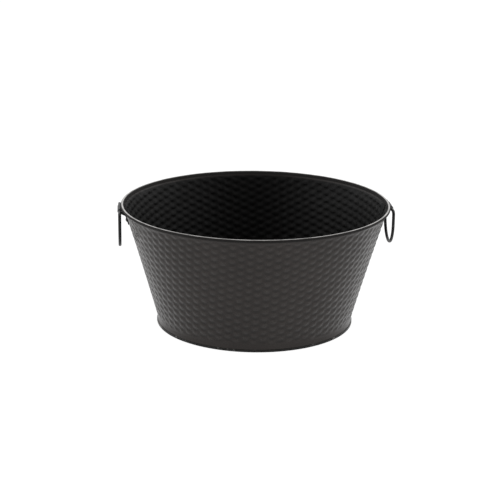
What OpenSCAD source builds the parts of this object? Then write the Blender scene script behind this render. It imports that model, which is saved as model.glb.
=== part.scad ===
// Round tapered bucket of embossed sheet steel, with a rolled rim and two drop handles.
// +Z is up and the ground is at zero. The handles are on +X and -X, and the front is -Y.

/* [Bucket] */
// Diameter over the rolled rim
rim_d = 450; // [400:1:500]
// Height from the ground to the top of the rim
height = 205; // [160:1:260]
// Diameter over the seam at the foot
foot_d = 332; // [280:1:360]
// Thickness of the two wall sheets
sheet_t = 0.8; // [0.6:0.1:1.2]
// How far the wall draws in from a straight line, half way up
wall_sag = 0.7; // [0:0.1:3]
// Height of the upright skirt at the bottom of the wall
skirt_h = 11.5; // [9:0.5:20]

/* [Rolled rim] */
// Diameter of the wire inside the rim
rim_wire_d = 3.4; // [2.4:0.1:4.6]
// Gap between the wire and the sheet that is rolled round it
rim_wire_gap = 0.1; // [0.05:0.05:0.3]
// Angle of the gap left open between the edge of the roll and the wall
rim_open = 58; // [50:1:90]

/* [Base] */
// Thickness of the base sheet
base_t = 0.8; // [0.6:0.1:1.2]
// Height of the floor's underside above the ground
floor_rise = 5; // [4:0.5:7]
// Height of the outside of the foot seam
seam_h = 4; // [3:0.5:7]
// Gap between the wall's skirt and the folds of the base round it
seam_gap = 0.05; // [0.05:0.01:0.2]
// Radius of the two lower corners of the foot seam
seam_r = 0.7; // [0.3:0.1:0.9]
// Outside radius of the bend at the floor's edge
floor_bend_r = 1.7; // [1.3:0.1:2.5]

/* [Side seams] */
// Width over which the front sheet laps the back one, at the rim
lap_w = 10; // [6:0.5:14]
// Width of the step by which the back sheet goes under the front one
joggle_w = 1.2; // [0.8:0.1:2]
// Gap between the lapped sheets
lap_gap = 0.06; // [0.05:0.01:0.12]
// Distance from the rolled rim down to the top of the lap
lap_rim_gap = 0.5; // [0.3:0.1:3]
// Distance from the ends of the back sheet's hidden edge to the floor and to the top of the lap
lap_end_gap = 0.5; // [0.3:0.1:3]

/* [Ears] */
// Metal left between a rivet's head and the ear's side edge
ear_margin = 2.3; // [1:0.1:6]
// Thickness of the ear's strap
ear_t = 0.8; // [0.6:0.1:1.2]
// Gap round the handle's bar in its ear
eye_gap = 0.25; // [0.1:0.05:0.4]
// Gap between the ear's strap and the rolled rim above it
ear_rim_gap = 1.2; // [0.4:0.1:5]
// How far below the bar's middle the two leaves of the strap come together
pinch_drop = 7.5; // [7:0.5:12]
// Height of the ear's foot on the wall
ear_foot_h = 17; // [14:0.5:24]
// Radius of the foot's lower corners
ear_corner_r = 5; // [2:0.5:7]
// Gap between the ear's foot and the wall
ear_seat_gap = 0.05; // [0.05:0.01:0.2]

/* [Rivets] */
// Diameter of the rivet's shank
rivet_d = 4; // [3:0.1:4.4]
// Diameter of the domed head outside
rivet_head_d = 7.4; // [6:0.1:8]
// Height of the domed head
rivet_head_h = 1.8; // [1.2:0.1:2.4]
// Diameter of the flattened tail inside
rivet_tail_d = 6.4; // [5.4:0.1:7]
// Height of the flattened tail
rivet_tail_h = 1; // [0.6:0.1:1.6]
// Distance between a rivet's tail and the step of the side seam
rivet_seam_gap = 0.6; // [0.3:0.1:4]
// Gap round each shank in its holes and under its head and tail
rivet_gap = 0.05; // [0.05:0.01:0.1]

/* [Handles] */
// Diameter of the handle's wire
handle_wire_d = 5; // [3:0.1:6.5]
// Width of the handle, between the middles of its sides
handle_w = 79; // [70:1:110]
// Length of the two straight sides
handle_side_h = 15; // [4:0.5:40]
// Bend radius of the two upper corners, at the middle of the wire
handle_corner_r = 6; // [5:0.5:10]
// Distance of the bar's middle outside the rim
handle_out = 1.8; // [1:0.1:4]

/* [Hidden] */
// Steps of the wall's curve, and degrees between the points of the rim's roll
wall_steps = 12;
roll_step = 12;
// Overshoot of cutting shapes
over = 1;
$fn = 180;

roll_in_r = rim_wire_d / 2 + rim_wire_gap;
roll_r = roll_in_r + sheet_t;
roll_c_r = rim_d / 2 - roll_r;
roll_c_z = height - roll_r;

skirt_r = foot_d / 2 - base_t - seam_gap;
// Slope of the wall from upright, near enough straight for the tangent at the rim
wall_lean = atan((roll_c_r - roll_in_r - skirt_r + 4 * wall_sag) / (roll_c_z - skirt_h));
top_r = roll_c_r - roll_in_r / cos(wall_lean);
skirt_z = base_t + seam_gap;
lap_top_z = height - 2 * roll_r - lap_rim_gap;

lap_a = asin(lap_w / rim_d);
joggle_a = asin((lap_w + 2 * joggle_w) / rim_d) - lap_a;
gap_a = asin(2 * lap_gap / foot_d);

// The rivets stand clear of the side seam, and the ear is wide enough for them
rivet_pitch = lap_w + 2 * joggle_w + rivet_tail_d + 2 * rivet_seam_gap;
ear_w = rivet_pitch + rivet_head_d + 2 * ear_margin;

bar_r = handle_wire_d / 2;
eye_r = bar_r + eye_gap;
ear_r = eye_r + ear_t;
bar_x = rim_d / 2 + handle_out;
// The bar hangs just low enough for its ear to clear the rolled rim
bar_z = roll_c_z - sqrt(pow(roll_r + ear_rim_gap + ear_r, 2) - pow(bar_x - roll_c_r, 2));
pinch_z = bar_z - pinch_drop;
foot_z = pinch_z - ear_foot_h;
rivet_z = pinch_z - ear_foot_h / 2;

// Outside radius of the wall at a height
function wall_s(z) = (z - skirt_h) / (roll_c_z - skirt_h);
function wall_r(z) = z < skirt_h ? skirt_r
  : skirt_r + (top_r - skirt_r) * wall_s(z) - 4 * wall_sag * wall_s(z) * (1 - wall_s(z));
// Angle of the wall from upright at a height
function lean_at(z) = atan(wall_r(z + 0.5) - wall_r(z - 0.5));
// Point on the wall, moved outward by d
function on_wall(z, d) = [wall_r(z) + d * cos(lean_at(z)), z - d * sin(lean_at(z))];
// Points up the wall between two heights, moved outward by d, with the skirt's corner among them
function up_wall(z0, z1, d) = let (za = max(z0, skirt_h)) concat(
    z0 < skirt_h ? [on_wall(z0, d)] : [],
    [for (i = [0 : wall_steps]) on_wall(za + (z1 - za) * i / wall_steps, d)]
  );
function but_last(p) = [for (i = [0 : len(p) - 2]) p[i]];
function reversed(p) = [for (i = [len(p) - 1 : -1 : 0]) p[i]];
// Point on a circle round c, at an angle
function about(c, r, a) = c + r * [cos(a), sin(a)];

paint = [0.11, 0.11, 0.115];
wall_paint = [0.2, 0.2, 0.2];
bare_wire = [0.5, 0.5, 0.52];

// Section of the wall sheet from the foot to the rim, with the rolled edge
module wall_section() {
  c = [roll_c_r, roll_c_z];
  start = 180 - wall_lean;
  end = start + rim_open - 360;
  roll_n = ceil((start - end) / roll_step);
  outer = [for (i = [0 : roll_n]) about(c, roll_r, start + (end - start) * i / roll_n)];
  inner = [for (i = [roll_n : -1 : 0]) about(c, roll_in_r, start + (end - start) * i / roll_n)];
  polygon(concat(
    but_last(up_wall(skirt_z, roll_c_z, -sheet_t)), outer,
    inner, reversed(but_last(up_wall(skirt_z, roll_c_z, 0)))
  ));
}

// A strip of the wall between two heights, from d0 to d1 outside the wall
module wall_strip(z0, z1, d0, d1) {
  polygon(concat(up_wall(z0, z1, d1), reversed(up_wall(z0, z1, d0))));
}

// Turns a section from one angle to another about the bucket's axis
module sector(a0, a1) {
  rotate([0, 0, a0]) rotate_extrude(angle = a1 - a0) children();
}

// Places its children on the wall at a rivet, with +Z out through the wall
module at_rivet(side, end) {
  turn = asin(rivet_pitch / 2 / wall_r(rivet_z));
  rotate([0, 0, (side > 0 ? 0 : 180) + end * turn])
    translate([wall_r(rivet_z), 0, rivet_z])
      rotate([0, 90 + lean_at(rivet_z), 0])
        children();
}

module rivet_holes() {
  for (side = [-1, 1]) for (end = [-1, 1])
    at_rivet(side, end)
      translate([0, 0, -rivet_head_d]) cylinder(r = rivet_d / 2 + rivet_gap, h = 2 * rivet_head_d);
}

module front_panel() {
  color(wall_paint) difference() {
    sector(180 - lap_a, 360 + lap_a) wall_section();
    // The laps stop under the rolled rim
    translate([-rim_d, 0, lap_top_z]) cube([2 * rim_d, rim_d, height]);
    rivet_holes();
  }
}

// The edge of the back sheet that goes under the front one, with its step
module back_lap(side) {
  z0 = floor_rise + base_t + lap_end_gap;
  z1 = lap_top_z - lap_end_gap;
  d1 = -sheet_t - lap_gap;
  mirror([side > 0 ? 0 : 1, 0, 0]) {
    sector(-lap_a, lap_a + joggle_a) wall_strip(z0, z1, d1 - sheet_t, d1);
    sector(lap_a + 2 * gap_a, lap_a + joggle_a - gap_a)
      wall_strip(z0 + sheet_t / 2, z1 - sheet_t / 2, d1 - sheet_t / 2, -sheet_t / 2);
  }
}

module back_panel() {
  color(wall_paint) union() {
    difference() {
      sector(0, 180) wall_section();
      for (side = [0, 1]) mirror([side, 0, 0]) rotate([0, 0, lap_a + gap_a])
        translate([0, -rim_d, -over]) cube([rim_d, rim_d, lap_top_z + lap_rim_gap / 2 + over]);
      rivet_holes();
    }
    for (side = [-1, 1]) back_lap(side);
  }
}

module rim_wire() {
  color(bare_wire) rotate_extrude() translate([roll_c_r, roll_c_z]) circle(d = rim_wire_d, $fn = 48);
}

// Floor disc, turned down inside the skirt, round its edge and up outside it
module base_plate() {
  out_r = foot_d / 2;
  in_r = skirt_r - sheet_t - seam_gap - base_t;
  top_z = floor_rise + base_t;
  bend_c = [in_r + base_t - floor_bend_r, top_z - floor_bend_r];
  color(paint) rotate_extrude() polygon(concat(
    [[0, floor_rise]],
    [for (a = [90 : -15 : 0]) about(bend_c, floor_bend_r - base_t, a)],
    [for (a = [180 : 30 : 270]) about([in_r + seam_r, seam_r], seam_r, a)],
    [for (a = [270 : 30 : 360]) about([out_r - seam_r, seam_r], seam_r, a)],
    [[out_r, seam_h], [out_r - base_t, seam_h], [out_r - base_t, base_t], [in_r + base_t, base_t]],
    [for (a = [0 : 15 : 90]) about(bend_c, floor_bend_r, a)],
    [[0, top_z]]
  ));
}

// Where a line from p touches a circle at c, to its left (side 1) or right (side -1)
function touch(p, c, r, side) = let (
    v = c - p, d = norm(v), a = atan2(v[1], v[0]) + side * asin(r / d), l = sqrt(d * d - r * r)
  ) p + l * [cos(a), sin(a)];

// Section of the strap round the bar, down to where its two leaves meet on the wall
module ear_loop() {
  c = [bar_x, bar_z];
  inside = on_wall(pinch_z, ear_seat_gap);
  middle = on_wall(pinch_z, ear_seat_gap + ear_t);
  outside = on_wall(pinch_z, ear_seat_gap + 2 * ear_t);
  difference() {
    union() {
      translate(c) circle(r = ear_r, $fn = 64);
      polygon([inside, touch(inside, c, ear_r, 1), c, touch(outside, c, ear_r, -1), outside]);
    }
    translate(c) circle(r = eye_r, $fn = 64);
    polygon([middle, touch(middle, c, eye_r, 1), c, touch(middle, c, eye_r, -1)]);
  }
}

module ear_outline() {
  w = ear_w / 2 - ear_corner_r;
  translate([-ear_w / 2, foot_z + ear_corner_r]) square([ear_w, ear_foot_h]);
  translate([-w, foot_z]) square([2 * w, ear_foot_h]);
  for (x = [-w, w]) translate([x, foot_z + ear_corner_r]) circle(r = ear_corner_r, $fn = 48);
}

// Strap folded round the bar, with its two leaves riveted to the wall
module ear(side) {
  spread = asin(ear_w / 2 / wall_r(foot_z)) + over;
  color(paint) difference() {
    mirror([side > 0 ? 0 : 1, 0, 0]) union() {
      rotate([90, 0, 0]) translate([0, 0, -ear_w / 2]) linear_extrude(ear_w) ear_loop();
      intersection() {
        sector(-spread, spread)
          wall_strip(foot_z - over, pinch_z + ear_t, ear_seat_gap, ear_seat_gap + 2 * ear_t);
        translate([bar_x - rim_d / 4, 0, 0]) rotate([90, 0, 90]) linear_extrude(rim_d / 4) ear_outline();
      }
    }
    rivet_holes();
  }
}

// Domed head outside the ear, shank, and flattened tail inside the wall
module rivet() {
  head_z = ear_seat_gap + 2 * ear_t + rivet_gap;
  tail_z = -sheet_t - rivet_gap;
  dome_r = (pow(rivet_head_d / 2, 2) + pow(rivet_head_h, 2)) / (2 * rivet_head_h);
  union() {
    translate([0, 0, tail_z - rivet_tail_h / 2])
      cylinder(d = rivet_d, h = head_z - tail_z + rivet_tail_h / 2 + rivet_head_h / 2, $fn = 48);
    translate([0, 0, tail_z - rivet_tail_h]) cylinder(d = rivet_tail_d, h = rivet_tail_h, $fn = 48);
    intersection() {
      translate([0, 0, head_z + rivet_head_h - dome_r]) sphere(r = dome_r, $fn = 64);
      translate([0, 0, head_z]) cylinder(d = rivet_head_d + over, h = rivet_head_h + over, $fn = 48);
    }
  }
}

module rivets(side) {
  color(paint) for (end = [-1, 1]) at_rivet(side, end) rivet();
}

// One bend of the handle's wire, in its own plane
module bend(c, r, a0, a1) {
  translate(c) rotate([0, 0, a0]) rotate_extrude(angle = a1 - a0) translate([r, 0]) circle(r = bar_r, $fn = 32);
}

// Straight bar, two tight corners, two straight sides and a half-round bottom
module handle(side) {
  half = handle_w / 2;
  corner_x = half - handle_corner_r;
  color(paint) translate([side * bar_x, 0, bar_z]) rotate([90, 0, 90]) union() {
    translate([-corner_x, 0, 0]) rotate([0, 90, 0]) cylinder(r = bar_r, h = 2 * corner_x, $fn = 32);
    for (end = [0, 1]) mirror([end, 0, 0]) {
      bend([corner_x, -handle_corner_r], handle_corner_r, 0, 90);
      translate([half, -handle_corner_r, 0]) rotate([90, 0, 0])
        cylinder(r = bar_r, h = handle_side_h, $fn = 32);
    }
    bend([0, -handle_corner_r - handle_side_h], half, -180, 0);
  }
}

module left_ear() { ear(-1); }
module right_ear() { ear(1); }
module left_rivets() { rivets(-1); }
module right_rivets() { rivets(1); }
module left_handle() { handle(-1); }
module right_handle() { handle(1); }

front_panel();
back_panel();
rim_wire();
base_plate();
left_ear();
right_ear();
left_rivets();
right_rivets();
left_handle();
right_handle();
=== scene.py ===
import bpy
import bmesh
from math import sin, cos, atan, atan2, asin, sqrt, radians, degrees, hypot
from mathutils import Matrix, Quaternion, Vector


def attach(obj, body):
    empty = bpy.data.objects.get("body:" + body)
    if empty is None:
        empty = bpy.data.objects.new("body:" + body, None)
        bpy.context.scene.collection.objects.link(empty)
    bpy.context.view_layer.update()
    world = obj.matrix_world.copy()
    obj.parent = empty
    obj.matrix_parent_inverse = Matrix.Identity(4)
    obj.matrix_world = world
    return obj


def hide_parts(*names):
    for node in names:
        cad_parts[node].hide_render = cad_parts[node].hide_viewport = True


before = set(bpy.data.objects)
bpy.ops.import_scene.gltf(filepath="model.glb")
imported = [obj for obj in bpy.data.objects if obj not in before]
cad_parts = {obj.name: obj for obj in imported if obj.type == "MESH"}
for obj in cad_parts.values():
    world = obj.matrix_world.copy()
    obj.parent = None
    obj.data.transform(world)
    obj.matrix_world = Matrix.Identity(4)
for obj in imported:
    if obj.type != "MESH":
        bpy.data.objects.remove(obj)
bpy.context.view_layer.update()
print("frame loaded:", len(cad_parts), "nodes")

scene = bpy.context.scene


# small things that several pieces use; lengths are in metres and angles in degrees

def smoothStep(low, high, x):
    t = min(1, max(0, (x - low) / (high - low)))
    return t * t * (3 - 2 * t)


def arcPoints(centre, radius, start, end, steps):
    angles = [radians(start + (end - start) * i / steps) for i in range(steps + 1)]
    return [(centre[0] + radius * cos(a), centre[1] + radius * sin(a)) for a in angles]


def aimAt(place, target):
    return (Vector(target) - Vector(place)).to_track_quat("-Z", "Y")


def spinPath(path, startAngle, turns):
    # a line of points spun about Z in one or more turns, each with its own number of steps
    bm = bmesh.new()
    a = radians(startAngle)
    verts = [bm.verts.new((r * cos(a), r * sin(a), z)) for r, z in path]
    geom = verts + [bm.edges.new(pair) for pair in zip(verts, verts[1:])]
    for turn, steps in turns:
        spun = bmesh.ops.spin(bm, geom=geom, cent=(0, 0, 0), axis=(0, 0, 1), angle=radians(turn),
                              steps=steps, use_merge=abs(turn) == 360, use_duplicate=False)
        geom = spun["geom_last"]
    return bm


def closeShell(bm, gap):
    bmesh.ops.remove_doubles(bm, verts=bm.verts[:], dist=gap)
    bmesh.ops.recalc_face_normals(bm, faces=bm.faces[:])


def finishPiece(bm, name, body, nodes, material, sharp=35):
    # faces are shaded smooth, apart from edges that turn by more than the sharp angle
    bm.normal_update()
    for face in bm.faces:
        face.smooth = True
    for edge in bm.edges:
        edge.smooth = edge.calc_face_angle(0) < radians(sharp)
    mesh = bpy.data.meshes.new(name)
    bm.to_mesh(mesh)
    bm.free()
    mesh.materials.append(material)
    piece = bpy.data.objects.new(name, mesh)
    scene.collection.objects.link(piece)
    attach(piece, body)
    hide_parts(*nodes)
    print(name, "made:", len(mesh.polygons), "faces")


# the camera stands where the photograph was taken, aimed at the bucket's middle

cameraSet = {
    "place": (-0.2147, -2.4058, 0.8521), "target": (0, 0, 0.1026),
    "roll": 0.70,  # the right side sits a little lower
    "lens": 107.64, "sensor": 36, "shift": (-0.010, 0.0218),
    "sight": 60,  # how far it sees
}


def makeCamera(values):
    data = bpy.data.cameras.new("camera")
    data.lens = values["lens"]
    data.sensor_width = values["sensor"]
    data.shift_x, data.shift_y = values["shift"]
    data.clip_end = values["sight"]
    camera = bpy.data.objects.new("camera", data)
    scene.collection.objects.link(camera)
    camera.location = values["place"]
    roll = Quaternion((0, 0, 1), radians(values["roll"]))
    camera.rotation_mode = "QUATERNION"
    camera.rotation_quaternion = aimAt(values["place"], values["target"]) @ roll
    scene.camera = camera


makeCamera(cameraSet)
print("camera placed")


# materials: a noise is given as its scale, detail and, where it isn't plain, roughness

def startMaterial(name):
    material = bpy.data.materials.new(name)
    material.use_nodes = True
    tree = material.node_tree
    return material, tree, tree.nodes["Principled BSDF"]


def addNode(tree, kind, inputs=None, **settings):
    made = tree.nodes.new(kind)
    for key, value in settings.items():
        setattr(made, key, value)
    for key, value in (inputs or {}).items():
        if isinstance(value, bpy.types.NodeSocket):
            tree.links.new(value, made.inputs[key])
        else:
            made.inputs[key].default_value = value
    return made


def addNoise(tree, where, scale, detail=3, roughness=0.5):
    made = addNode(tree, "ShaderNodeTexNoise", {
        "Vector": where, "Scale": scale, "Detail": detail, "Roughness": roughness})
    return made.outputs["Fac"]


def addRange(tree, value, fromLow, fromHigh, toLow=0.0, toHigh=1.0):
    made = addNode(tree, "ShaderNodeMapRange", {
        "Value": value, "From Min": fromLow, "From Max": fromHigh,
        "To Min": toLow, "To Max": toHigh})
    return made.outputs["Result"]


def addMath(tree, first, second, operation="MULTIPLY"):
    return addNode(tree, "ShaderNodeMath", {0: first, 1: second}, operation=operation).outputs[0]


def mixColours(tree, share, first, second):
    made = addNode(tree, "ShaderNodeMix", {0: share, 6: first, 7: second}, data_type="RGBA")
    return made.outputs[2]


def addPaintGrain(tree, shader, where, values):
    grain = addNode(tree, "ShaderNodeBump", {
        "Height": addNoise(tree, where, *values["grain"]),
        "Distance": values["grainDepth"], "Strength": values["grainStrength"]})
    tree.links.new(grain.outputs["Normal"], shader.inputs["Normal"])


wallPaint = {
    "dark": (0.0178, 0.014, 0.0124, 1), "light": (0.026, 0.0212, 0.019, 1),
    "clouds": (7, 3), "cloudRange": (0.35, 0.65),  # broad patches of dark and light
    "crest": (0.08, 0.074, 0.07, 1),  # fine specks on the bumps
    "specks": (900, 2), "speckRange": (0.45, 0.75), "speckRelief": (0.6, 1), "speckShare": 0.5,
    "edge": (0.008, 0.0073, 0.007, 1),  # painted shade: the rolled rim and the foot's seam are painted darker, for the shade under the roll and along the foot's lower edge
    "rimHeight": (0.1985, 0.2), "footHeight": (0.0046, 0.0036), "edgeShare": 0.85,
    "wornAndHighlight": (0.4, 0.388, 0.376, 1),  # painted highlight in worn patches along the rim's ridge, and real worn spots at the foot
    "ridgeHeight": (0.2045, 0.2048), "wear": (60, 4),
    "chipsAndHighlight": (0.35, 0.6, 0.45, 1), "scuffs": (0.58, 0.66, 0, 0.5),
    "hollowShade": (0, 0.45, 0.6, 1),  # painted shade: the paint is darker in the hollows between the bumps
    "inside": 0.06,  # painted shade: much darker inside the bucket
    "roughness": (0.22, 0.32), "sheen": (40, 3), "sheenRange": (0.3, 0.7),
    "rimDull": 0.5, "insideDull": 0.3, "ridgeDull": -0.6,
    "gloss": 0.25,
    "grain": (1600, 2), "grainDepth": 0.00003, "grainStrength": 0.6,
}


def makeWallPaint(values):
    material, tree, shader = startMaterial("graphite paint")
    where = addNode(tree, "ShaderNodeTexCoord").outputs["Object"]
    relief = addNode(tree, "ShaderNodeAttribute", attribute_name="relief").outputs["Fac"]
    inside = addNode(tree, "ShaderNodeAttribute", attribute_name="inside").outputs["Fac"]
    height = addNode(tree, "ShaderNodeSeparateXYZ", {0: where}).outputs["Z"]
    rim = addRange(tree, height, *values["rimHeight"])
    foot = addRange(tree, height, *values["footHeight"])
    ridge = addRange(tree, height, *values["ridgeHeight"])

    clouds = addRange(tree, addNoise(tree, where, *values["clouds"]), *values["cloudRange"])
    tone = mixColours(tree, clouds, values["dark"], values["light"])
    specks = addRange(tree, addNoise(tree, where, *values["specks"]), *values["speckRange"])
    specks = addMath(tree, specks, addRange(tree, relief, *values["speckRelief"]))
    tone = mixColours(tree, addMath(tree, specks, values["speckShare"]), tone, values["crest"])
    # painted shade: the rim's roll and the foot's seam take the dark edge colour
    rimFootShade = addMath(tree, addMath(tree, rim, foot, "MAXIMUM"), values["edgeShare"])
    tone = mixColours(tree, rimFootShade, tone, values["edge"])
    wear = addNoise(tree, where, *values["wear"])
    # painted highlight: light patches along the rim's ridge, laid out by the wear noise; the
    # scuffs at the foot are wear
    chipsAndHighlight = addMath(tree, ridge, addRange(tree, wear, *values["chipsAndHighlight"]))
    scuffs = addMath(tree, foot, addRange(tree, wear, *values["scuffs"]))
    tone = mixColours(tree, addMath(tree, chipsAndHighlight, scuffs, "MAXIMUM"), tone, values["wornAndHighlight"])
    # painted shade: darker in the hollows between the bumps, and much darker inside the bucket
    depth = addMath(tree, addRange(tree, relief, *values["hollowShade"]),
                    addRange(tree, inside, 0, 1, 1, values["inside"]))
    shaded = addNode(tree, "ShaderNodeVectorMath", {0: tone, "Scale": depth}, operation="SCALE")
    tree.links.new(shaded.outputs[0], shader.inputs["Base Color"])

    sheen = addNoise(tree, where, *values["sheen"])
    rough = addRange(tree, sheen, *values["sheenRange"], *values["roughness"])
    dull = addMath(tree, addRange(tree, rim, 0, 1, 0, values["rimDull"]),
                   addRange(tree, inside, 0, 1, 0, values["insideDull"]), "ADD")
    dull = addMath(tree, dull, addRange(tree, ridge, 0, 1, 0, values["ridgeDull"]), "ADD")
    tree.links.new(addMath(tree, rough, dull, "ADD"), shader.inputs["Roughness"])
    shader.inputs["Specular IOR Level"].default_value = values["gloss"]
    addPaintGrain(tree, shader, where, values)
    return material


blackPaint = {
    "dark": (0.008, 0.008, 0.0082, 1), "worn": (0.02, 0.0193, 0.0187, 1),
    "wear": (160, 4, 0.65), "wearRange": (0.52, 0.72),
    "roughness": (0.34, 0.46), "sheen": (90, 3), "sheenRange": (0.3, 0.7),
    "gloss": 0.25,
    "grain": (1300, 2), "grainDepth": 0.00003, "grainStrength": 0.6,
}


def makeBlackPaint(values):
    material, tree, shader = startMaterial("black paint")
    where = addNode(tree, "ShaderNodeTexCoord").outputs["Object"]
    worn = addRange(tree, addNoise(tree, where, *values["wear"]), *values["wearRange"])
    tone = mixColours(tree, worn, values["dark"], values["worn"])
    tree.links.new(tone, shader.inputs["Base Color"])
    sheen = addNoise(tree, where, *values["sheen"])
    rough = addRange(tree, sheen, *values["sheenRange"], *values["roughness"])
    tree.links.new(rough, shader.inputs["Roughness"])
    shader.inputs["Specular IOR Level"].default_value = values["gloss"]
    addPaintGrain(tree, shader, where, values)
    return material


bareWire = {
    "bright": (0.42, 0.42, 0.43, 1), "dull": (0.22, 0.2, 0.18, 1),
    "spots": (220, 4), "spotRange": (0.45, 0.7), "roughness": (0.3, 0.55),
}


def makeBareWire(values):
    material, tree, shader = startMaterial("drawn wire")
    where = addNode(tree, "ShaderNodeTexCoord").outputs["Object"]
    spots = addRange(tree, addNoise(tree, where, *values["spots"]), *values["spotRange"])
    tone = mixColours(tree, spots, values["bright"], values["dull"])
    tree.links.new(tone, shader.inputs["Base Color"])
    tree.links.new(addRange(tree, spots, 0, 1, *values["roughness"]), shader.inputs["Roughness"])
    shader.inputs["Metallic"].default_value = 1
    return material


graphite = makeWallPaint(wallPaint)
black = makeBlackPaint(blackPaint)
drawnWire = makeBareWire(bareWire)
print("materials ready")


# the wall: two sheets pressed with a woven pattern, rolled over a wire at the top

wall = {
    "skirtFoot": 0.00085, "skirtTop": 0.0115, "skirtRadius": 0.16515,
    "sag": 0.0007,  # how far the wall is drawn in at half height
    "rollRadius": 0.2224, "rollHeight": 0.2024, "rollInside": 0.00179,
    "rollGap": 58,  # how much of the roll's circle stays open
    "sheet": 0.0008,
    "slack": 0.0003, "hair": 0.000001,  # what still counts as on the cone, and as the same height
    "rows": 126, "columns": 312, "rollSteps": 16, "lapSteps": 2, "bendSteps": 4,
    "skirtRows": (0.0035, 0.0092, 0.0109), "firstRow": 0.0121, "neckRow": 0.2011,
    # the back sheet's ends step in under the front sheet's
    "lapHalfAngle": 1.2733, "slotAngle": 0.0207, "stepAngle": 0.3057,
    "lapFoot": 0.0063, "lapTop": 0.1988, "cutTop": 0.1995, "lapDepth": 0.00086,
    "insideTop": (0.196, 0.199),  # the heights over which the painted shade inside ends
}
weave = {
    "column": 0.01425, "row": 0.006623, "depth": 0.00115,
    "turned": 5.5,  # between the pattern's upright and the sheet's middle
    "tilt": -3.4,  # rows per metre that the pattern climbs across the sheet
    "crowd": -34.9,  # rows per square metre by which it crowds away from its middle
    "middle": 0.7,  # its middle, from the point where the flat sheet's sides would meet
    # heights in rows from a bump's middle, for the two slopes below and above its face
    "lowerSlope": (-0.9, -0.1), "upperSlope": (0.34, 0.7),
    "smile": (0.5, 0.5),  # how far the lower and the upper slope turn up at their ends
    "crown": 0.1,  # how round the face is
    "side": (0.35, 1),  # where its left and right slopes start and end, in half columns
    "border": 0.25,  # height of the line between two columns
    "slideAcross": -0.0026, "slideUp": -0.0004,
    # where it starts and ends at the foot, the top, the side seams and under the ears
    "foot": (0.0125, 0.0175), "top": (0.193, 0.198), "seam": (0.006, 0.011),
    "earFoot": (0.166, 0.171), "earSide": (0.0165, 0.0205),
    "plain": 0.5,  # relief of the sheet where it isn't pressed
}

wallRise = wall["rollHeight"] - wall["skirtTop"]
wallSpread = wall["rollRadius"] - wall["rollInside"] - wall["skirtRadius"]
lean = atan((wallSpread + 4 * wall["sag"]) / wallRise)  # at the wall's top
topRadius = wall["rollRadius"] - wall["rollInside"] / cos(lean)
coneSine = sin(atan((topRadius - wall["skirtRadius"]) / wallRise))


def wallRadius(z):
    foot = wall["skirtRadius"]
    s = (z - wall["skirtTop"]) / wallRise
    if s < 0:
        return foot
    return foot + (topRadius - foot) * s - 4 * wall["sag"] * s * (1 - s)


def wallLean(z, step=0.0005):
    return atan((wallRadius(z + step) - wallRadius(z - step)) / (2 * step))


def weaveHeight(across, up):
    # staggered columns of bumps and hollows, 1 on a bump's crown and 0 in a hollow
    column = (across - weave["slideAcross"]) / weave["column"]
    row = (up - weave["slideUp"]) / weave["row"] + weave["tilt"] * across
    row += weave["crowd"] * (up - weave["middle"]) ** 2
    i = round(column)
    j = i + 2 * round((row - i) / 2)
    x, y = 2 * (column - i), row - j
    low, high = [y - turned * x * x for turned in weave["smile"]]
    bump = smoothStep(*weave["lowerSlope"], low) * (1 - smoothStep(*weave["upperSlope"], high))
    bump *= 1 - weave["crown"] * (x * x + y * y)
    return bump + (weave["border"] - bump) * smoothStep(*weave["side"], abs(x))


def flatPlace(turn, z):
    # where a point of the wall lies on the flat sheet; turn is from the sheet's middle
    slant = wallRadius(z) / coneSine
    fold = coneSine * turn
    return slant * sin(fold), slant * cos(fold)


def patternShare(y, z):
    # 1 where the sheet is pressed, 0 where it is left plain or is squashed flat again
    share = smoothStep(*weave["foot"], z) * (1 - smoothStep(*weave["top"], z))
    share *= smoothStep(*weave["seam"], abs(y))
    underEar = smoothStep(*weave["earFoot"], z) * (1 - smoothStep(*weave["earSide"], abs(y)))
    return share * (1 - underEar)


def wallPath():
    skirt = sorted([wall["skirtFoot"], wall["lapFoot"], *wall["skirtRows"]])
    first, last = wall["firstRow"], wall["lapTop"]
    rows = [first + (last - first) * i / wall["rows"] for i in range(wall["rows"] + 1)]
    path = [(wallRadius(z), z) for z in skirt + rows + [wall["cutTop"], wall["neckRow"]]]
    start = 180 - degrees(lean)
    return path + arcPoints((wall["rollRadius"], wall["rollHeight"]), wall["rollInside"],
                            start, start + wall["rollGap"] - 360, wall["rollSteps"])


def isSpare(middle, front):
    # above the lap the sheets meet edge to edge, and the hidden edge stops short of the floor
    if front:
        return middle.y > 0 and middle.z > wall["lapTop"]
    turn = degrees(atan2(abs(middle.y), abs(middle.x)))
    inLap = middle.y < 0 or turn < wall["lapHalfAngle"] + wall["slotAngle"]
    hidden = middle.z < wall["lapFoot"] or wall["lapTop"] < middle.z < wall["cutTop"]
    return (inLap and hidden) or (middle.y < 0 and middle.z > wall["lapTop"])


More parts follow.
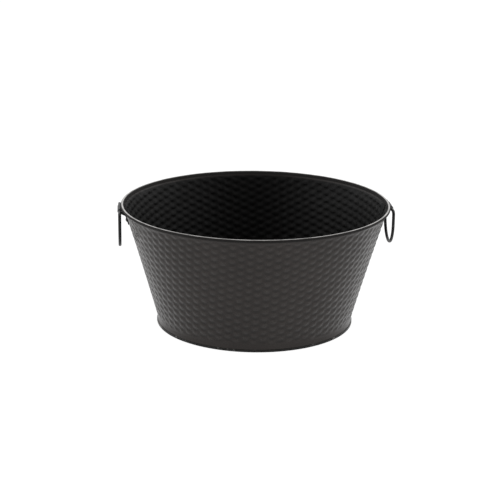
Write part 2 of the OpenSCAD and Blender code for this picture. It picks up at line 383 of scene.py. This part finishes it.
def makePanel(name, node, front):
    lap, step, slot = wall["lapHalfAngle"], wall["stepAngle"], wall["slotAngle"]
    few = wall["lapSteps"]
    if front:
        bm = spinPath(wallPath(), 180 - lap, [(lap, few), (180, wall["columns"]), (lap, few)])
    else:
        ends = [(lap, few), (lap + slot, few), (step - slot, wall["bendSteps"])]
        middle = [(180 - 2 * lap - 2 * step, wall["columns"])]
        bm = spinPath(wallPath(), -lap, ends + middle + ends[::-1])
    bm.normal_update()
    midHeight = wall["rollHeight"] / 2
    midFace = min(bm.faces, key=lambda face: abs(face.calc_center_median().z - midHeight))
    if midFace.normal.xy.dot(midFace.calc_center_median().xy) < 0:
        bmesh.ops.reverse_faces(bm, faces=bm.faces[:])
    spare = [face for face in bm.faces if isSpare(face.calc_center_median(), front)]
    bmesh.ops.delete(bm, geom=spare, context="FACES")

    relief = bm.verts.layers.float.new("relief")
    sheetMap = bm.loops.layers.uv.new("flat sheet")
    for vert in bm.verts:
        x, y, z = vert.co
        r = hypot(x, y)
        vert[relief] = weave["plain"]
        if z > wall["rollHeight"] or abs(r - wallRadius(z)) > wall["slack"]:
            continue
        turn = atan2(x, -y) if front else atan2(-x, y)
        high = weaveHeight(*flatPlace(turn - radians(weave["turned"]), z))
        share = patternShare(y, z)
        push = share * weave["depth"] * (high - 1)
        vert[relief] = share * high + (1 - share) * weave["plain"]
        if not front and wall["lapFoot"] - wall["hair"] < z < wall["lapTop"] + wall["hair"]:
            fromSeam = degrees(atan2(y, abs(x)))
            push -= wall["lapDepth"] * (1 - smoothStep(lap + slot, lap + step, fromSeam))
        tilt = wallLean(z)
        vert.co += push * Vector((x / r * cos(tilt), y / r * cos(tilt), -sin(tilt)))
    for face in bm.faces:
        for loop in face.loops:
            x, y, z = loop.vert.co
            loop[sheetMap].uv = flatPlace(atan2(x, -y) if front else atan2(-x, y), z)

    # the inner faces' share of the painted shade inside the bucket
    inside = bm.verts.layers.float.new("inside")
    bm.normal_update()
    doubled = bmesh.ops.solidify(bm, geom=bm.faces[:], thickness=wall["sheet"])
    for item in doubled["geom"]:
        if isinstance(item, bmesh.types.BMVert):
            item[inside] = 1 - smoothStep(*wall["insideTop"], item.co.z)
    finishPiece(bm, name, "bucket", [node], graphite)


makePanel("frontSheet", "front_panel", True)
makePanel("backSheet", "back_panel", False)


# the base: a disc folded down inside the wall's skirt, under it and up outside it

base = {
    "outside": 0.166, "inside": 0.1635, "sheet": 0.0008,
    "floorTop": 0.0058, "floorBend": 0.0017, "seamHeight": 0.004, "cornerRadius": 0.0007,
    "lip": 0.00001,  # taken off the round edge, so that it stays inside the sheet's thickness
    "ring": 0.02, "rings": 7, "steps": 200,
    "cornerSteps": 5, "bendSteps": 8, "edgeSteps": 8, "merge": 0.000001,
}


def makeBase(values):
    out, inner, t = values["outside"], values["inside"], values["sheet"]
    bend, corner, top = values["floorBend"], values["cornerRadius"], values["floorTop"]
    bendCentre = (inner + t - bend, top - bend)
    rings = [values["ring"] * i for i in range(1, values["rings"] + 1)]
    path = [(r, top - t) for r in [0] + rings]
    path += arcPoints(bendCentre, bend - t, 90, 0, values["bendSteps"] // 2)
    path += arcPoints((inner + corner, corner), corner, 180, 270, values["cornerSteps"])
    path += arcPoints((out - corner, corner), corner, 270, 360, values["cornerSteps"])
    path += arcPoints((out - t / 2, values["seamHeight"] - t / 2), t / 2 - values["lip"],
                      0, 180, values["edgeSteps"])
    path += [(out - t, t), (inner + t, t)]
    path += arcPoints(bendCentre, bend, 0, 90, values["bendSteps"])
    path += [(r, top) for r in rings[::-1] + [0]]
    bm = spinPath(path, 0, [(360, values["steps"])])
    closeShell(bm, values["merge"])
    finishPiece(bm, "baseSheet", "bucket", ["base_plate"], graphite)


makeBase(base)


# the wire inside the rolled rim

rimWire = {"radius": 0.0017, "around": 16, "steps": 200, "merge": 0.000001}


def makeRimWire(values):
    path = arcPoints((wall["rollRadius"], wall["rollHeight"]), values["radius"],
                     0, 360, values["around"])
    bm = spinPath(path, 0, [(360, values["steps"])])
    closeShell(bm, values["merge"])
    finishPiece(bm, "rimWire", "bucket", ["rim_wire"], drawnWire)


makeRimWire(rimWire)


# handles: one wire each, a straight bar with tight corners and a half-round bottom

handle = {
    "barOut": 0.2268, "barHeight": 0.196512, "wire": 0.0025,
    "width": 0.079, "corner": 0.006, "side": 0.015,
    "around": 28, "barSteps": 24, "cornerSteps": 10, "sideSteps": 5, "bottomSteps": 60,
    "merge": 0.000005,
}


def makeHandle(name, node, side, values):
    x, z = side * values["barOut"], values["barHeight"]
    half, corner, drop = values["width"] / 2, values["corner"], values["side"]
    bm = bmesh.new()
    bmesh.ops.create_circle(bm, segments=values["around"], radius=values["wire"], cap_ends=False)
    turned = Matrix.Translation((x, -half + corner, z)) @ Matrix.Rotation(radians(90), 4, "X")
    bmesh.ops.transform(bm, matrix=turned, verts=bm.verts[:])
    geom = bm.verts[:] + bm.edges[:]
    for centre, angle, along, steps in (
            ((0, 0, 0), 0, (0, 2 * (half - corner), 0), values["barSteps"]),
            ((x, half - corner, z - corner), -90, (0, 0, 0), values["cornerSteps"]),
            ((0, 0, 0), 0, (0, 0, -drop), values["sideSteps"]),
            ((x, 0, z - corner - drop), -180, (0, 0, 0), values["bottomSteps"]),
            ((0, 0, 0), 0, (0, 0, drop), values["sideSteps"]),
            ((x, -half + corner, z - corner), -90, (0, 0, 0), values["cornerSteps"])):
        spun = bmesh.ops.spin(bm, geom=geom, cent=centre, axis=(1, 0, 0), angle=radians(angle),
                              dvec=Vector(along) / steps, steps=steps, use_duplicate=False)
        geom = spun["geom_last"]
    closeShell(bm, values["merge"])
    finishPiece(bm, name, node, [node], black)


# ears: a strap folded round the handle's bar, with its two leaves riveted to the wall

ear = {
    "strap": 0.0008, "eye": 0.00275,  # thickness, and radius of the fold round the bar
    "seat": 0.00005, "leafGap": 0.00004,  # clear of the wall, and between the leaves
    "width": 0.032, "foot": 0.172012, "pinch": 0.189012, "corner": 0.005,
    "follow": (-0.001, 0.005),  # from where to where at the pinch it stops following the wall
    "edge": 0.00016, "sharp": 60, "edgeSegments": 2,  # the edges' rounding
    "across": 20, "cornerSteps": 6, "leafRows": 6, "eyeSteps": 20,
}


def onWall(z, out):
    tilt = wallLean(z)
    return wallRadius(z) + out * cos(tilt), z - out * sin(tilt)


def touchPoint(point, centre, radius, side):
    # where a line from the point touches a circle
    dx, dz = centre[0] - point[0], centre[1] - point[1]
    far = hypot(dx, dz)
    angle = atan2(dz, dx) + side * asin(radius / far)
    reach = sqrt(far * far - radius * radius)
    return point[0] + reach * cos(angle), point[1] + reach * sin(angle)


def strapRows(values):
    # the strap's inner face from the side: up the outer leaf, round the bar, down the inner leaf
    centre = (handle["barOut"], handle["barHeight"])
    corner, pinch = values["corner"], values["pinch"]
    steps, rows = values["cornerSteps"], values["leafRows"]
    quarter = [radians(90 * i / steps) for i in range(steps + 1)]
    heights = [values["foot"] + corner * (1 - cos(a)) for a in quarter]
    low = heights[-1]
    heights += [low + (pinch - low) * i / rows for i in range(1, rows + 1)]
    middle = values["seat"] + values["strap"]
    outer = [onWall(z, middle + values["leafGap"] / 2) for z in heights]
    inner = [onWall(z, middle - values["leafGap"] / 2) for z in heights]
    outEnd = touchPoint(outer[-1], centre, values["eye"], -1)
    inEnd = touchPoint(inner[-1], centre, values["eye"], 1)
    outAngle = degrees(atan2(outEnd[1] - centre[1], outEnd[0] - centre[0]))
    inAngle = degrees(atan2(inEnd[1] - centre[1], inEnd[0] - centre[0]))
    loop = arcPoints(centre, values["eye"], outAngle, inAngle % 360, values["eyeSteps"])
    return outer + loop + inner[::-1]


def makeEar(name, node, side, values):
    corner, foot, pinch = values["corner"], values["foot"], values["pinch"]
    bm = bmesh.new()
    path = [bm.verts.new((x, 0, z)) for x, z in strapRows(values)]
    edges = [bm.edges.new(pair) for pair in zip(path, path[1:])]
    bmesh.ops.translate(bm, verts=path, vec=(0, -1, 0))  # first 2 m wide, then fitted below
    bmesh.ops.spin(bm, geom=path + edges, cent=(0, 0, 0), axis=(0, 0, 1), angle=0,
                   dvec=(0, 2 / values["across"], 0), steps=values["across"], use_duplicate=False)
    for vert in bm.verts:
        x, y, z = vert.co
        drop = max(0, foot + corner - z)
        y *= values["width"] / 2 - corner + sqrt(max(0, corner ** 2 - drop ** 2))
        bend = 1 - smoothStep(pinch + values["follow"][0], pinch + values["follow"][1], z)
        x += (sqrt(x * x - y * y) - x) * bend
        vert.co = (x, y, z)
    bm.normal_update()
    topFace = max(bm.faces, key=lambda face: face.calc_center_median().z)
    if topFace.normal.z > 0:
        bmesh.ops.reverse_faces(bm, faces=bm.faces[:])
    bmesh.ops.solidify(bm, geom=bm.faces[:], thickness=values["strap"] - values["leafGap"])
    bm.normal_update()
    rims = [edge for edge in bm.edges if edge.calc_face_angle(0) > radians(values["sharp"])]
    bmesh.ops.bevel(bm, geom=rims, offset=values["edge"], offset_type="OFFSET",
                    segments=values["edgeSegments"], profile=0.5, affect="EDGES", material=-1)
    if side < 0:
        halfTurn = Matrix.Rotation(radians(180), 3, "Z")
        bmesh.ops.rotate(bm, verts=bm.verts[:], cent=(0, 0, 0), matrix=halfTurn)
    bmesh.ops.recalc_face_normals(bm, faces=bm.faces[:])
    finishPiece(bm, name, "bucket", [node], black)


# rivets: a domed head outside each ear and a flattened tail inside the wall

rivet = {
    "shank": 0.002, "head": 0.0037, "headHeight": 0.0018, "tail": 0.0032, "tailHeight": 0.001,
    "headEdge": 0.00008, "domeFoot": 0.00015,  # the head's bevel, and where its dome starts
    "tailRound": 0.0004, "tailEdge": 0.0001, "tailGap": 0.00005,
    "height": 0.180512, "pitch": 0.020, "seat": 0.0017,
    "steps": 32, "domeSteps": 12, "tailSteps": 4, "sharp": 50, "merge": 0.0000005,
}


def rivetPath(values):
    # half the rivet's outline, from the tail's middle to the dome's top
    tail, tailRound, tailEdge = values["tail"], values["tailRound"], values["tailEdge"]
    tailTop = -wall["sheet"] - values["tailGap"]
    tailFoot = tailTop - values["tailHeight"]
    head, rise, seat = values["head"], values["headHeight"], values["seat"]
    domeRadius = (head ** 2 + rise ** 2) / (2 * rise)
    domeCentre = seat + rise - domeRadius
    domeStart = seat + values["domeFoot"] - domeCentre
    edgeAngle = degrees(atan2(domeStart, sqrt(domeRadius ** 2 - domeStart ** 2)))
    path = [(0, tailFoot), (tail * 0.5, tailFoot)]
    path += arcPoints((tail - tailRound, tailFoot + tailRound), tailRound,
                      270, 360, values["tailSteps"])
    path += [(tail, tailTop - tailEdge), (tail - tailEdge, tailTop)]
    path += [(values["shank"], tailTop), (values["shank"], seat)]
    path += [(head - values["headEdge"], seat), (head, seat + values["headEdge"])]
    dome = arcPoints((0, domeCentre), domeRadius, edgeAngle, 90, values["domeSteps"])
    return path + dome[:-1] + [(0, seat + rise)]


def makeRivets(name, node, side, values):
    bm = spinPath(rivetPath(values), 0, [(360, values["steps"])])
    bmesh.ops.remove_doubles(bm, verts=bm.verts[:], dist=values["merge"])
    radius = wallRadius(values["height"])
    turn = degrees(asin(values["pitch"] / 2 / radius))
    first = bm.verts[:]
    copied = bmesh.ops.duplicate(bm, geom=bm.verts[:] + bm.edges[:] + bm.faces[:])
    second = [item for item in copied["geom"] if isinstance(item, bmesh.types.BMVert)]
    for verts, end in ((first, -1), (second, 1)):
        place = Matrix.Rotation(radians((0 if side > 0 else 180) + end * turn), 4, "Z")
        place = place @ Matrix.Translation((radius, 0, values["height"]))
        place = place @ Matrix.Rotation(radians(90) + wallLean(values["height"]), 4, "Y")
        bmesh.ops.transform(bm, matrix=place, verts=verts)
    bmesh.ops.recalc_face_normals(bm, faces=bm.faces[:])
    finishPiece(bm, name, "bucket", [node], black, sharp=values["sharp"])


makeEar("leftEar", "left_ear", -1, ear)
makeEar("rightEar", "right_ear", 1, ear)
makeRivets("leftRivets", "left_rivets", -1, rivet)
makeRivets("rightRivets", "right_rivets", 1, rivet)
makeHandle("leftHandle", "left_handle", -1, handle)
makeHandle("rightHandle", "right_handle", 1, handle)


# a pale floor and soft light from all round

studio = {
    "worldLight": 1.08,
    "floor": (0.75, 0.75, 0.75, 1), "floorSize": 30,
    "floorDepth": 0.0003,  # how far the floor lies under the bucket
    "floorWhite": 1.12, "floorGlow": 0.85,  # the white laid over it, and that white's share
    "shadowRing": (0.1665, 0.173),  # round the foot, where reflections see the floor's shadow
    "floorGloss": 0.1, "matt": 0.9,
    "aim": (0, 0, 0.1),  # what the lamps and the card face
    "lamps": {  # place, width and power
        "leftSoftbox": ((-1.5, 0.4, 0.4), 0.8, 2.2),
        "rightSoftbox": ((1.5, 0.4, 0.4), 0.8, 1.5),
        "topLamp": ((0.1, 0.35, 1.9), 0.4, 5),
    },
    "card": ((0, -3.2, 2.3), 3.2),  # a dark card round the camera, seen in the gloss alone
    "cardTone": (0.01, 0.01, 0.01, 1),
}


def makeWorld(values):
    world = bpy.data.worlds.new("studio")
    scene.world = world
    world.use_nodes = True
    tree = world.node_tree
    paths = addNode(tree, "ShaderNodeLightPath").outputs
    seen = addMath(tree, paths["Is Camera Ray"], paths["Is Glossy Ray"], "ADD")
    seen = addMath(tree, seen, paths["Is Transmission Ray"], "ADD")
    background = tree.nodes["Background"]
    background.inputs["Color"].default_value = (1, 1, 1, 1)
    strength = addRange(tree, seen, 0, 1, values["worldLight"], 1)
    tree.links.new(strength, background.inputs["Strength"])


def makeFlatSheet(name, size, material):
    bm = bmesh.new()
    bmesh.ops.create_grid(bm, x_segments=1, y_segments=1, size=size)
    mesh = bpy.data.meshes.new(name)
    bm.to_mesh(mesh)
    bm.free()
    mesh.materials.append(material)
    sheet = bpy.data.objects.new(name, mesh)
    scene.collection.objects.link(sheet)
    return sheet


def makeFloor(values):
    material, tree, shader = startMaterial("pale floor")
    shader.inputs["Base Color"].default_value = values["floor"]
    shader.inputs["Roughness"].default_value = values["matt"]
    shader.inputs["Specular IOR Level"].default_value = values["floorGloss"]
    glow = addNode(tree, "ShaderNodeEmission", {
        "Color": (1, 1, 1, 1), "Strength": values["floorWhite"]})
    paths = addNode(tree, "ShaderNodeLightPath").outputs
    where = addNode(tree, "ShaderNodeTexCoord").outputs["Object"]
    length = addNode(tree, "ShaderNodeVectorMath", {0: where}, operation="LENGTH")
    away = addRange(tree, length.outputs["Value"], *values["shadowRing"])
    mirrored = addMath(tree, paths["Is Glossy Ray"], paths["Is Transmission Ray"], "ADD")
    seen = addMath(tree, paths["Is Camera Ray"], addMath(tree, mirrored, away), "ADD")
    mixed = addNode(tree, "ShaderNodeMixShader", {
        0: addMath(tree, seen, values["floorGlow"]), 1: shader.outputs[0], 2: glow.outputs[0]})
    tree.links.new(mixed.outputs[0], tree.nodes["Material Output"].inputs["Surface"])
    floor = makeFlatSheet("floor", values["floorSize"], material)
    floor.location.z = -values["floorDepth"]


def makeCard(values):
    material, tree, shader = startMaterial("dark card")
    shader.inputs["Base Color"].default_value = values["cardTone"]
    shader.inputs["Roughness"].default_value = values["matt"]
    place, size = values["card"]
    card = makeFlatSheet("darkCard", size, material)
    card.location = place
    card.rotation_mode = "QUATERNION"
    card.rotation_quaternion = aimAt(place, values["aim"])
    card.visible_camera = card.visible_diffuse = card.visible_shadow = False


def makeLamps(values):
    for name, (place, size, power) in values["lamps"].items():
        data = bpy.data.lights.new(name, "AREA")
        data.shape = "SQUARE"
        data.size = size
        data.energy = power
        lamp = bpy.data.objects.new(name, data)
        scene.collection.objects.link(lamp)
        lamp.location = place
        lamp.rotation_mode = "QUATERNION"
        lamp.rotation_quaternion = aimAt(place, values["aim"])


makeWorld(studio)
makeFloor(studio)
makeCard(studio)
makeLamps(studio)
scene.view_settings.view_transform = "Standard"
print("studio ready")
